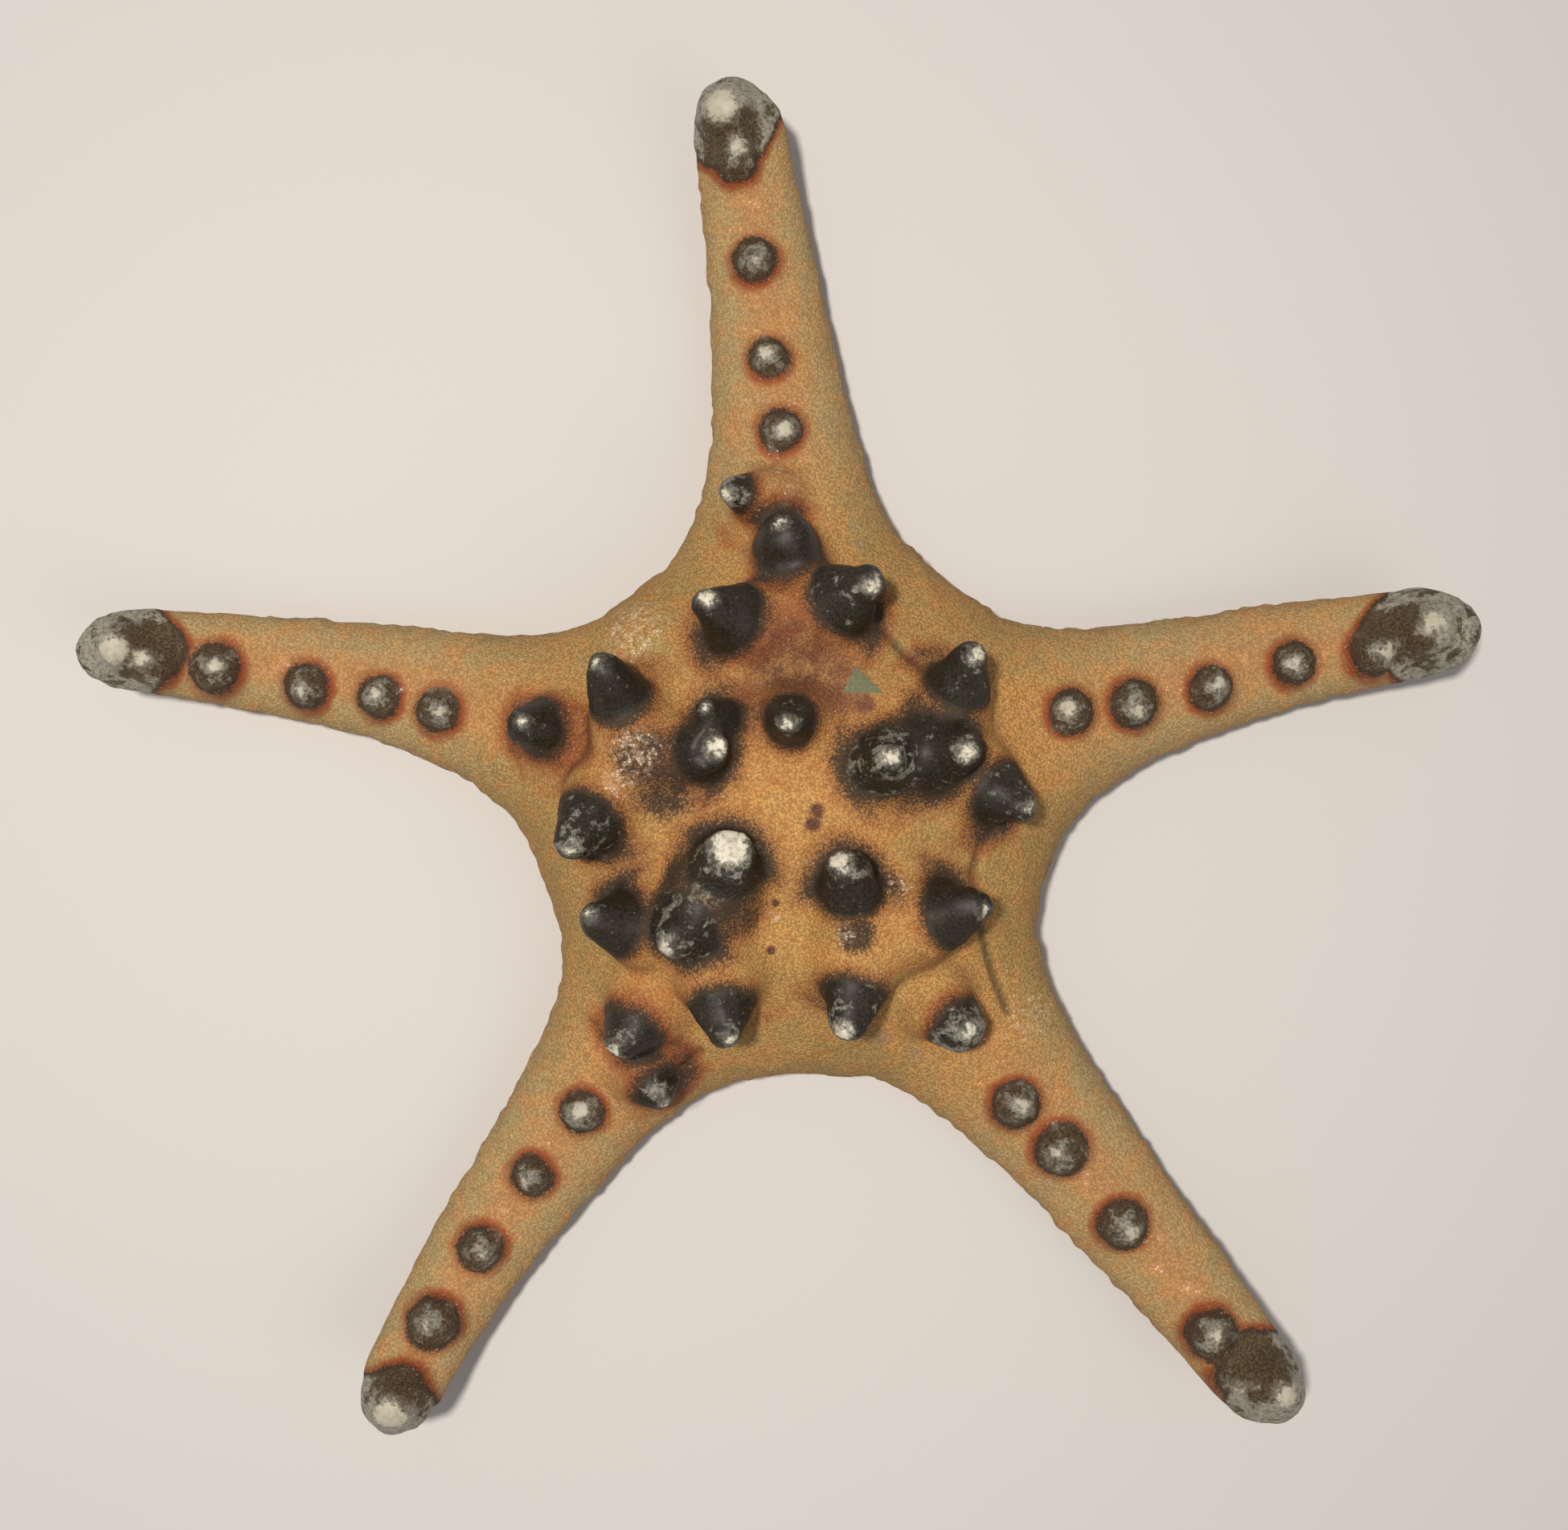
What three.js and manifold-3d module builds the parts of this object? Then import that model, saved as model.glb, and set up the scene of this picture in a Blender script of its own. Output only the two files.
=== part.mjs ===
// A dried horned sea star, lying on its flat underside: a domed disc, five tapering arms with
// turned-up tips, and the blunt horns that stand on both.
// Lengths are in millimetres and +Z is up. The origin is on the surface that the star rests on,
// below the middle of its outline. Headings are in degrees, anticlockwise from +X.
import * as THREE from "three";
import { mergeVertices } from "three/addons/utils/BufferGeometryUtils.js";
import Module from "manifold-3d";

// The disc is the domed middle, where the five arms meet.
const discCentre = new THREE.Vector3(1.5, -8.5, 0);
const discHeight = 34;
const rimHeight = 7.5; // height of the widest line, round the disc and along the arms
const edgeRounding = 0.4; // share of the half-width that the lower edge rounds over

// An arm narrows evenly towards its tip, and the webs between the arms widen it near the disc.
const armHalfWidth = 15;
const armNarrowing = 0.069; // half-width lost per millimetre of length
const webFade = 10.7; // length over which a web narrows to a third
const armHeight = 12.5; // height of the back near the tip, before the lift
const shoulderLength = 38; // distance at which the back is halfway down from the disc
const liftStart = 80; // from here outwards the tip turns up
const tipLift = 11;
const tipLength = 8; // the arm closes to a blunt round end over this length

// The arms, anticlockwise. bow is how far the arm's middle line swings sideways, and bowPeak is
// where, as a share of the length. web is the disc's radius between this arm and the next. A knob
// is a small round horn: distance along the arm, offset to the left of its middle line, and base
// radius. The last one of each arm is the cap on its tip.
const arms = [
  {
    heading: 94.5, length: 121, girth: 1.07, bow: -4.2, bowPeak: 0.45, web: 44.5,
    knobs: [
      [63, 0.5, 4.4], [75.5, 1, 4], [92, 1, 4.4],
      [108, 1.5, 4.6], [115, 1.5, 5.6],
    ],
  },
  {
    heading: 167, length: 121, girth: 0.96, bow: -5.4, bowPeak: 0.55, web: 42,
    knobs: [
      [60.5, 2.5, 4.4], [71, 2.5, 4.3], [83.5, 3, 4.6],
      [98.5, 2, 5], [108, 2, 4.4], [113.5, 0, 5.2],
    ],
  },
  {
    heading: 236.5, length: 122.5, girth: 1, bow: -2.4, bowPeak: 0.75, web: 44.5,
    knobs: [
      [61, 0.5, 4.4], [75, 0, 4.3], [90, 0, 4.6],
      [104, 0, 5.2], [116.5, 0.5, 5.8],
    ],
  },
  {
    heading: 309.5, length: 130.5, girth: 1.1, bow: 0.4, bowPeak: 0.6, web: 44.5,
    knobs: [
      [62, -2.5, 4.4], [73, -1.5, 5], [89.5, -1.5, 4.6],
      [112, -1.5, 5.2], [119.5, -3, 4.2], [124, 1, 5.4],
    ],
  },
  {
    heading: 15, length: 118.5, girth: 1, bow: 3.7, bowPeak: 0.6, web: 46.5,
    knobs: [
      [49, 0.5, 4.6], [60, -1.5, 5], [73.5, -2.5, 4.4],
      [88, -1.5, 4.4], [101, -2, 5], [109.5, 0, 6],
    ],
  },
];

// A knob's proportions, as shares of its base radius.
const knobRise = 1.15;
const knobTip = 0.75; // radius of its rounded top
const knobSink = 0.4; // how deep its base lies in the skin

// The tall horns on the disc and on the arms' roots: the base's place [x, y], how far the tip
// leans from it [x, y], the tip's rise above the base, and the base's radius.
const horns = [
  // round the top of the dome
  { base: [2, 6], lean: [0, 0], rise: 11, radius: 5.2 },
  { base: [17, -0.5], lean: [-0.5, 0], rise: 9.5, radius: 6 },
  { base: [11.5, -21], lean: [-1.5, 5], rise: 9.5, radius: 6 },
  { base: [-8, -17.5], lean: [1, 3.5], rise: 9, radius: 6 },
  { base: [-15.5, 1.5], lean: [5.5, 0], rise: 8.5, radius: 5.6 },
  { base: [-8, 5], lean: [-3.5, 3], rise: 9, radius: 4.2 },
  { base: [-22, 1.5], lean: [0, 0], rise: 3.5, radius: 6.5 },
  // on the flanks, leaning outwards
  { base: [8, 24], lean: [7, 3.5], rise: 12, radius: 6.4 },
  { base: [-4.5, 22], lean: [-7, 2], rise: 12, radius: 6.4 },
  { base: [-23.5, 7], lean: [-3.5, 8], rise: 12, radius: 5.8 },
  { base: [-28.5, -7.5], lean: [-4.5, -7], rise: 11, radius: 6.2 },
  { base: [-22, -26.5], lean: [-7.5, 2], rise: 10, radius: 5.8 },
  { base: [-11.5, -23.5], lean: [-4.5, -5.5], rise: 9.5, radius: 6.4 },
  { base: [-9.5, -36.5], lean: [1, -7.5], rise: 10, radius: 6.3 },
  { base: [12, -33.5], lean: [-1.5, -7.5], rise: 10, radius: 6.3 },
  { base: [24.5, -25.5], lean: [7, 3], rise: 10, radius: 6.6 },
  { base: [32.5, -3.5], lean: [6.5, -5], rise: 9.5, radius: 6 },
  { base: [23, 1], lean: [6.5, 0], rise: 10, radius: 5.8 },
  { base: [28, 9], lean: [2, 7], rise: 11.5, radius: 6.2 },
  // on the arms' roots
  { base: [2, 32], lean: [0, 4.5], rise: 10, radius: 6.4 },
  { base: [-2.5, 43], lean: [-7, 0.5], rise: 8, radius: 4.6 },
  { base: [-37, 5], lean: [-5, 0], rise: 9, radius: 5.3 },
  { base: [-22.5, -42], lean: [-2.5, -4], rise: 8, radius: 5.4 },
  { base: [-20.5, -53], lean: [2.5, -3], rise: 6, radius: 4.3 },
  { base: [27, -41], lean: [2, -3], rise: 9, radius: 5.8 },
];
const hornTip = 0.42; // radius of a horn's rounded tip, as a share of its base's
const hornFoot = 4; // length of the root below the base, inside the skin
const hornSides = 8;
const hornTipStart = 9; // where the sides run into the rounded tip, in degrees above its equator

// The groove under each arm, which widens to the mouth in the middle.
const grooveHalfWidth = 2.6;
const grooveDepth = 3;
const mouthRadius = 7;
const mouthDepth = 5;

// The rows that the skin is built on, and the points along half of a row.
const bodyRows = 16;
const tipRows = 4;
const backSteps = 6;
const edgeSteps = 3;
const slantEnd = 95; // from here outwards the rows run straight across the arm

const skinColour = 0xb98a4e;

// Widths and heights -----------------------------------------------------------------------

// 1 along an arm, falling in a quarter ellipse to 0 at the very tip.
function tipClosing(arm, distance) {
  const share = Math.max(0, distance - (arm.length - tipLength)) / tipLength;
  return Math.sqrt(Math.max(0, 1 - share * share));
}

function liftAt(arm, distance) {
  const share = Math.max(0, distance - liftStart) / (arm.length - liftStart);
  return tipLift * share * share;
}

// Height of the back above the rim, along the middle line.
function backAt(arm, distance) {
  const shoulder = (discHeight - armHeight) / (1 + (distance / shoulderLength) ** 3);
  return (armHeight - rimHeight + shoulder) * tipClosing(arm, distance);
}

// How far the arm's middle line has swung to the left of its heading.
function bowAt(arm, distance) {
  const power = Math.log(0.5) / Math.log(arm.bowPeak);
  return arm.bow * Math.sin(Math.PI * (distance / arm.length) ** power);
}

// A point of an arm, from its distance from the disc's centre, its offset to the left of the
// arm's middle line, and its height.
function armPoint(arm, distance, offset, height) {
  const heading = THREE.MathUtils.degToRad(arm.heading);
  const left = offset + bowAt(arm, distance);
  return new THREE.Vector3(
    discCentre.x + distance * Math.cos(heading) - left * Math.sin(heading),
    discCentre.y + distance * Math.sin(heading) + left * Math.cos(heading),
    height,
  );
}

// The web beside an arm, to its left (side 1) or its right (-1): its deepest point, halfway
// between the two arms' headings, and where that lies in the arm's own directions.
function webBeside(arm, side) {
  const next = arms.at((arms.indexOf(arm) + side) % arms.length);
  const [first, second] = side > 0 ? [arm, next] : [next, arm];
  const gap = THREE.MathUtils.degToRad((second.heading - first.heading + 360) % 360);
  const middle = THREE.MathUtils.degToRad(first.heading) + gap / 2;
  const deepest = new THREE.Vector3(Math.cos(middle), Math.sin(middle), 0);
  deepest.multiplyScalar(first.web).add(discCentre);
  const distance = first.web * Math.cos(gap / 2);
  const halfWidth = first.web * Math.sin(gap / 2) - side * bowAt(arm, distance);
  return { deepest, distance, halfWidth };
}

function plainHalfWidth(arm, distance) {
  return arm.girth * (armHalfWidth - armNarrowing * distance) * tipClosing(arm, distance);
}

// The outline's point at a distance along an arm, on one side of it.
function outlinePoint(arm, side, distance) {
  const web = webBeside(arm, side);
  const extra = web.halfWidth - plainHalfWidth(arm, web.distance);
  const spread = extra * Math.exp((web.distance - distance) / webFade);
  const halfWidth = plainHalfWidth(arm, distance) + spread * tipClosing(arm, distance);
  return armPoint(arm, distance, side * halfWidth, 0);
}

// Solids -----------------------------------------------------------------------------------

const wasm = await Module();
wasm.setup();

function solidFrom(geometry) {
  const bare = geometry.clone();
  bare.deleteAttribute("normal");
  bare.deleteAttribute("uv");
  const merged = mergeVertices(bare, 1e-4);
  const mesh = new wasm.Mesh({
    numProp: 3,
    vertProperties: merged.attributes.position.array,
    triVerts: new Uint32Array(merged.index.array),
  });
  return new wasm.Manifold(mesh);
}

function geometryFrom(solid) {
  const { vertProperties, triVerts } = solid.getMesh();
  const geometry = new THREE.BufferGeometry();
  geometry.setAttribute("position", new THREE.BufferAttribute(vertProperties, 3));
  geometry.setIndex(new THREE.BufferAttribute(triVerts, 1));
  geometry.computeVertexNormals();
  return geometry;
}

// Distances along an arm's middle line at which its rows start.
function rowStarts(arm) {
  const bodyEnd = arm.length - tipLength;
  const starts = [];
  for (let row = 0; row < bodyRows; row += 1) starts.push((bodyEnd * row) / bodyRows);
  for (let row = 0; row <= tipRows; row += 1) {
    starts.push(bodyEnd + tipLength * Math.sin((Math.PI / 2) * (row / tipRows)));
  }
  return starts;
}

// Half of a row, from the middle of the back over the rim to the middle of the underside. The
// first row of an arm runs along the web's middle line, and the next ones swing round from it
// until they run straight across the arm.
function halfRow(arm, side, start) {
  const web = webBeside(arm, side);
  const slant = Math.max(0, 1 - start / slantEnd) ** 2;
  const inner = start > 0 ? armPoint(arm, start, 0, 0) : discCentre;
  const outer = start > 0 ? outlinePoint(arm, side, start + web.distance * slant) : web.deepest;
  const closing = tipClosing(arm, start);
  const rim = rimHeight + liftAt(arm, start);
  const back = backAt(arm, start);
  const belly = rimHeight * closing;
  const mouth = Math.max(0, 1 - start / mouthRadius);
  const groove = (grooveDepth + (mouthDepth - grooveDepth) * mouth) * closing;
  const grooveEdge = grooveHalfWidth + (mouthRadius - grooveHalfWidth) * mouth;
  const grooveShare = Math.min(0.3, grooveEdge / Math.max(1, inner.distanceTo(outer)));

  const points = [];
  const add = (share, height) => points.push(inner.clone().lerp(outer, share).setZ(height));
  for (let step = 0; step <= backSteps; step += 1) {
    const angle = (Math.PI / 2) * (step / backSteps);
    add(Math.sin(angle), rim + back * (step < backSteps ? Math.cos(angle) : 0));
  }
  for (let step = 1; step <= edgeSteps; step += 1) {
    const angle = (Math.PI / 2) * (step / edgeSteps);
    add(1 - edgeRounding * (1 - Math.cos(angle)), rim - belly * Math.sin(angle));
  }
  add(grooveShare, rim - belly);
  add(0, rim - belly + groove);
  return points;
}

// The bare body: the half-rows of the five arms, joined row by row.
function bodyGeometry() {
  const corners = [];
  const addTriangle = (a, b, c) => {
    const isFlat = a.distanceTo(b) < 1e-4 || b.distanceTo(c) < 1e-4 || c.distanceTo(a) < 1e-4;
    if (!isFlat) corners.push(a, b, c);
  };
  for (const arm of arms) {
    for (const side of [1, -1]) {
      const rows = rowStarts(arm).map((start) => halfRow(arm, side, start));
      for (let row = 0; row + 1 < rows.length; row += 1) {
        const [near, far] = side > 0 ? [rows[row], rows[row + 1]] : [rows[row + 1], rows[row]];
        for (let step = 0; step + 1 < near.length; step += 1) {
          addTriangle(near[step], far[step], far[step + 1]);
          addTriangle(near[step], far[step + 1], near[step + 1]);
        }
      }
    }
  }
  return new THREE.BufferGeometry().setFromPoints(corners);
}

const body = new THREE.Mesh(bodyGeometry());

// Height of the body's back over a point.
function skinHeightAt(x, y) {
  const above = new THREE.Vector3(x, y, 2 * discHeight);
  const down = new THREE.Vector3(0, 0, -1);
  return new THREE.Raycaster(above, down).intersectObject(body)[0].point.z;
}

// A blunt cone with a spherical tip, standing on its base along the vector from base to tip.
function hornSolid(base, tip, radius, tipRadius) {
  const axis = new THREE.Vector3().subVectors(tip, base);
  const height = axis.length();
  const profile = [
    new THREE.Vector2(0, -hornFoot),
    new THREE.Vector2(radius, -hornFoot),
    new THREE.Vector2(radius, 0),
  ];
  for (const degrees of [hornTipStart, (hornTipStart + 90) / 2]) {
    const angle = THREE.MathUtils.degToRad(degrees);
    const up = height - tipRadius + tipRadius * Math.sin(angle);
    profile.push(new THREE.Vector2(tipRadius * Math.cos(angle), up));
  }
  profile.push(new THREE.Vector2(0, height));
  const horn = new THREE.LatheGeometry(profile, hornSides);
  const upright = new THREE.Vector3(0, 1, 0);
  horn.applyQuaternion(new THREE.Quaternion().setFromUnitVectors(upright, axis.normalize()));
  horn.translate(base.x, base.y, base.z);
  return solidFrom(horn);
}

function tallHornSolid({ base, lean, rise, radius }) {
  const foot = new THREE.Vector3(base[0], base[1], skinHeightAt(base[0], base[1]));
  const tip = foot.clone().add(new THREE.Vector3(lean[0], lean[1], rise));
  return hornSolid(foot, tip, radius, hornTip * radius);
}

function knobSolid(arm, [distance, offset, radius]) {
  const middle = armPoint(arm, distance, offset, 0);
  const foot = middle.setZ(skinHeightAt(middle.x, middle.y) - knobSink * radius);
  const tip = foot.clone().add(new THREE.Vector3(0, 0, knobRise * radius));
  return hornSolid(foot, tip, radius, knobTip * radius);
}

function starfishGeometry() {
  let solid = solidFrom(body.geometry);
  for (const arm of arms) {
    for (const knob of arm.knobs) solid = solid.add(knobSolid(arm, knob));
  }
  for (const horn of horns) solid = solid.add(tallHornSolid(horn));
  return geometryFrom(solid);
}

const skin = new THREE.MeshStandardMaterial({
  color: skinColour,
  roughness: 0.85,
  metalness: 0,
});
const starfish = new THREE.Mesh(starfishGeometry(), skin);
starfish.name = "starfish";

const group = new THREE.Group();
group.add(starfish);

export default group;
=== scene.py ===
"""The looks of a dried horned sea star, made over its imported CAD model.

The star is one piece, built as a smooth field (negative inside, positive outside) on a grid of
points: five arms and a dome blended together, horns and knobs blended onto them, and the grooves
and the mouth cut out below. A mesh is laid where the field is zero, then roughened. Numbers that
the material needs, such as how far a point is from the bare part of a horn, are stored on the
mesh's points.

The shape is worked out in millimetres and becomes metres when the mesh is made.
"""

import math
from dataclasses import dataclass

import bpy
import numpy as np
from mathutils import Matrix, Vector


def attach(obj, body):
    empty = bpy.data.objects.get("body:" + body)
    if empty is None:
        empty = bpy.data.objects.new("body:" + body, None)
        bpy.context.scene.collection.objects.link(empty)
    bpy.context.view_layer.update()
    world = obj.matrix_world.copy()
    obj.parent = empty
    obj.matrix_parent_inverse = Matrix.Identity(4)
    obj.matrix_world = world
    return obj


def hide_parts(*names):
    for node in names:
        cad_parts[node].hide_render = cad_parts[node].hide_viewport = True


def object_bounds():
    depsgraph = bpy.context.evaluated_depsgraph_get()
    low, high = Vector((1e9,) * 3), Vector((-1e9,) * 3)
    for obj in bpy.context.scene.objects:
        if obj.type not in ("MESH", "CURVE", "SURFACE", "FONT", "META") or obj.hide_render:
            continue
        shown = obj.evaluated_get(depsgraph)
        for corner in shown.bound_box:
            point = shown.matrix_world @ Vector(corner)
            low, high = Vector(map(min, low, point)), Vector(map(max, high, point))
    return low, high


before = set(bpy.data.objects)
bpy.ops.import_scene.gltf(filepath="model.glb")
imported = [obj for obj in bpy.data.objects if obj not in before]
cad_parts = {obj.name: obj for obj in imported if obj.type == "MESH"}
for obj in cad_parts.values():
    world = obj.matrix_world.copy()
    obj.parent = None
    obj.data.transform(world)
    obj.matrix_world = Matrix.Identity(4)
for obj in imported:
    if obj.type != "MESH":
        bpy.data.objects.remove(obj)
cad_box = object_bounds()

MM = 0.001
GRID_STEP = 0.85  # keeps the star just under 200,000 triangles
GRID_MARGIN = 4


# The shape in numbers ----------

DISC_CENTRE = (1.5, -8.5)
DISC_HEIGHT = 34
DISC_INSET = 2  # how much narrower the dome is than the disc
RIM_HEIGHT = 7.5  # height of the widest line
BELLY_DEPTH = 10  # how deep the section would reach below the rim, if it weren't flat below
ARM_HALF_WIDTH = 15  # at the disc's centre; it narrows from there
ARM_NARROWING = 0.069  # lost from the half-width with each millimetre along the arm
ARM_HEIGHT = 12.5
INNER_END = 30  # length of the arm's rounded inner end, inside the dome
SHOULDER_LENGTH = 38  # how far along an arm the disc's height has half gone
WEB_FADE = 10.7  # how far along an arm its web shrinks to about a third
WEB_INSIDE = 4  # how far inwards from the disc's outline the web goes on widening
WEB_BLEND = 5  # size of the fillet between two arms
LIFT_START = 80  # where along an arm its tip begins to rise
TIP_LIFT = 11
TIP_LENGTH = 8  # length of the rounded end


@dataclass
class Arm:
    """One arm: its heading in degrees, length, girth, how far its middle line bows to the left
    and at which share of the length, and the disc's radius between it and the next arm."""

    heading: float
    length: float
    girth: float
    bow: float
    bow_peak: float
    web: float
    cap: float  # how far the bare end reaches in from the last knob
    knobs: tuple  # distance along the arm, offset to the left, base radius, rubbed patch's radius


@dataclass
class Horn:
    base: tuple  # x and y of its base
    lean: tuple  # x and y from the base to the tip
    rise: float  # height of the tip above the base
    radius: float  # of the base
    rubbed: float  # radius of the pale rubbed patch on the tip
    scuffed: float  # share of its bare part that is scuffed grey
    tip: float = 0.42  # radius of its rounded tip, as a share of its base's
    skinned: float = 0.38  # share of its length that the granular skin covers
    broken: float = 0  # how much of the tip has snapped off


ARMS = (
    Arm(94.5, 121, 1.07, -4.2, 0.45, 44.5, 9.5, (
        (63, 0.5, 4.4, 1.6), (75.5, 1, 4, 1.3), (92, 1, 4.4, 1),
        (108, 1.5, 4.6, 1.5), (115, 1.5, 5.6, 3.2),
    )),
    Arm(167, 121, 0.96, -5.4, 0.55, 42, 10, (
        (60.5, 2.5, 4.4, 1.2), (71, 2.5, 4.3, 1.1), (83.5, 3, 4.6, 1),
        (98.5, 2, 5, 1.2), (108, 2, 4.4, 1.5), (113.5, 0, 5.2, 2.8),
    )),
    Arm(236.5, 122.5, 1, -2.4, 0.75, 44.5, 5.5, (
        (61, 0.5, 4.4, 1.6), (75, 0, 4.3, 1), (90, 0, 4.6, 1),
        (104, 0, 5.2, 1), (116.5, 0.5, 5.8, 3),
    )),
    Arm(309.5, 130.5, 1.1, 0.4, 0.6, 44.5, 9.5, (
        (62, -2.5, 5, 1.2), (73, -1.5, 5.5, 1.3), (89.5, -1.5, 5.1, 1.6),
        (112, -1.5, 5.2, 1.3), (119.5, -3, 4.2, 1), (124, 1, 5.4, 2.2),
    )),
    Arm(15, 118.5, 1, 3.7, 0.6, 46.5, 10.5, (
        (49, 0.5, 4.6, 1.3), (60, -1.5, 5, 1.4), (73.5, -2.5, 4.4, 1.3),
        (88, -1.5, 4.4, 1.3), (101, -2, 5, 1.7), (109.5, 0, 6, 2),
    )),
)

HORNS = (
    # round the top of the dome
    Horn((2, 6), (-0.5, -0.5), 11, 5.6, 1.1, 0.3, tip=0.48, skinned=0.42),
    Horn((17, -0.5), (-0.5, 0), 9.5, 6, 1.5, 0.5, tip=0.5, skinned=0.25),
    Horn((11.3, -24), (-1, 9), 9.5, 5.3, 1.9, 0.35, tip=0.7, skinned=0.3),
    Horn((-9.2, -19.2), (2.2, 6.3), 9, 6.5, 3.2, 0.4, skinned=0.3, broken=2.6),
    Horn((-11, -21), (0, 0), 4.5, 5.6, 0, 0.45, tip=0.7, skinned=0.3),  # a ridge beside it
    Horn((-14.5, 0.5), (5, 0.6), 8.5, 5.1, 1.6, 0.25, skinned=0.3, broken=2),
    Horn((-8, 5), (-3.7, 3), 9, 3.7, 0.6, 0.15, skinned=0.25),
    Horn((-22, 1.5), (0, 0), 5.2, 6.5, 0, 0, tip=0.75, skinned=1.5),  # a low mound, all skin
    # on the flanks, leaning outwards
    Horn((6.4, 23.2), (8.8, 4.5), 12, 7.8, 1.4, 0.4, tip=0.38),
    Horn((-3.9, 20.8), (-8.4, 3.2), 12, 7.5, 1.5, 0.25, tip=0.38),
    Horn((-24, 6.2), (-3.6, 9), 12, 6.2, 1, 0.25),
    Horn((-28, -7), (-5, -7.5), 11, 6.9, 1, 0.45),
    Horn((-21.5, -27.3), (-8.7, 2.6), 10, 6.8, 0.9, 0.2, skinned=0.4),
    Horn((-11.5, -23.5), (-5.9, -5.5), 9.5, 6.4, 1.5, 0.45, tip=0.55, skinned=0.42),
    Horn((-9.6, -33.8), (1.3, -10.7), 10, 7.6, 1.1, 0.35, tip=0.38, skinned=0.52),
    Horn((12.6, -31.8), (-2.2, -11.5), 9.5, 7.3, 1.6, 0.45, tip=0.4, skinned=0.5),
    Horn((21.6, -26.4), (10.6, 4.2), 10, 7.3, 0.9, 0.2, tip=0.45, skinned=0.45),
    Horn((32, -4), (7, -4.5), 9.5, 6.8, 1, 0.4),
    Horn((23, 1), (7.1, 0.3), 10, 5.8, 1.4, 0.35, tip=0.55, skinned=0),
    Horn((27, 8), (3, 9), 11.5, 6.8, 1.5, 0.35),
    # on the arms' roots
    Horn((1.2, 32), (-0.2, 4.9), 10, 6.4, 0.8, 0.15, tip=0.7, skinned=0.4),
    Horn((-1.8, 42.6), (-7.4, 0.7), 8, 5.4, 1.2, 0.5, skinned=0.68),
    Horn((-37, 5), (-5, 0), 9, 5.3, 0.8, 0.25, tip=0.6, skinned=0.3),
    Horn((-21.6, -40.4), (-4.4, -6.8), 7.5, 7, 1.4, 0.35, tip=0.45, skinned=0.5),
    Horn((-22.2, -52), (3.8, -3.9), 6, 5.2, 0.9, 0.4, skinned=0.5),
    Horn((25, -39.4), (5.5, -5.4), 8.5, 6.5, 1.4, 0.5, tip=0.64, skinned=0.6),
)
HORN_SINK = 0.2  # how deep the middle of its base lies in the skin
HORN_BLEND = 4  # size of the fillet round its base
BROKEN_TIP = 0.6  # radius of a broken horn's end, as a share of its base's
BROKEN_EXTRA = 0.4  # share of what breaks off that the horn is first made longer by
BREAK_TILT = 1.5  # how much more level the break is than square to the horn
BREAK_ROUGHNESS = 0.8
KNOB_SINK = 0.4  # this and the next four are shares of a knob's base radius
KNOB_RISE = 1.15
KNOB_FOOT = 0.9
KNOB_TIP = 0.7
BARE_KNOB = 0.78  # radius of its bare top
KNOB_BLEND = 2
KNOB_SCUFFED = 0.45
CAP_CURVE = 0.12  # how much less far the bare end reaches in at the arm's sides

# The sieve plate on the dome: a three-sided plate, by its corners.
SIEVE_PLATE = ((12.1, 14.3), (10.1, 10.4), (16.5, 10.2))
SIEVE_PLATE_RISE = 0.3

# Height, size and seed of the waves that roughen the surface.
SKIN_WAVES = ((0.22, 9, 1), (0.12, 3.5, 2))
HORN_DENTS = ((0.25, 2.4, 4), (0.12, 1.2, 6))
SCALLOP_HEIGHT, SCALLOP_SIZE, SCALLOP_SEED = 0.4, 1.7, 3
BREAK_SIZE, BREAK_SEED = 1.6, 5

# Creases of the dried skin, each a line through these points.
CREASES = (
    ((15.5, 24.5), (16.6, 21), (19, 17.8), (22.2, 14.8)),
    ((36.4, -10.5), (32.3, -13.5), (31, -18.5), (32.3, -26), (35.2, -36), (37.8, -42)),
    ((-17.5, -52.1), (-15, -50.5), (-13.2, -48.4)),
)
CREASE_HALF_WIDTH = 1.2
CREASE_DEPTH = 0.7

# The grooves under the arms, with a row of small spines along each side.
GROOVE_HALF_WIDTH = 2.6
GROOVE_DEPTH = 3
GROOVE_END = 4  # how far short of the arm's end it stops
GROOVE_BLEND = 1.5  # size of the fillets where the grooves meet the mouth
GROOVE_LIP = 1  # size of the rounding of its lips
HIGHEST_GROOVE = 12  # this and the next are at the lifted tips of the arms
HIGHEST_UNDERSIDE = 13
MOUTH_RADIUS = 7
MOUTH_DEPTH = 5
SPINE_LENGTH = 1.9
SPINE_RADIUS = 0.45
SPINE_SPACING = 2
SPINE_START = 11  # along the arm, just outside the mouth
SPINE_STOP = 9  # how far short of the arm's end the rows stop
SPINE_SIDES = 6
SPINE_RINGS = ((0, 1), (0.75, 0.8), (1, 0.4))  # share of its length, and of its radius there


# Random fields and blends ----------


def noise(points, size, seed):
    """A smooth random number from -1 to 1 for each point, with features about `size` across."""
    side = 48
    lattice = np.random.default_rng(seed).uniform(-1, 1, (side, side, side))
    scaled = points / size
    cell = np.floor(scaled).astype(int)
    share = scaled - cell
    share = share * share * (3 - 2 * share)
    total = np.zeros(len(points))
    for corner in np.ndindex(2, 2, 2):
        weight = np.prod(np.where(corner, share, 1 - share), axis=1)
        total += weight * lattice[tuple(((cell + corner) % side).T)]
    return total


def waves(points, kinds):
    return sum(height * noise(points, size, seed) for height, size, seed in kinds)


def smooth_step(value, low, high):
    """From 0 at low to 1 at high, eased in and out."""
    share = np.clip((value - low) / (high - low), 0, 1)
    return share * share * (3 - 2 * share)


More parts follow.
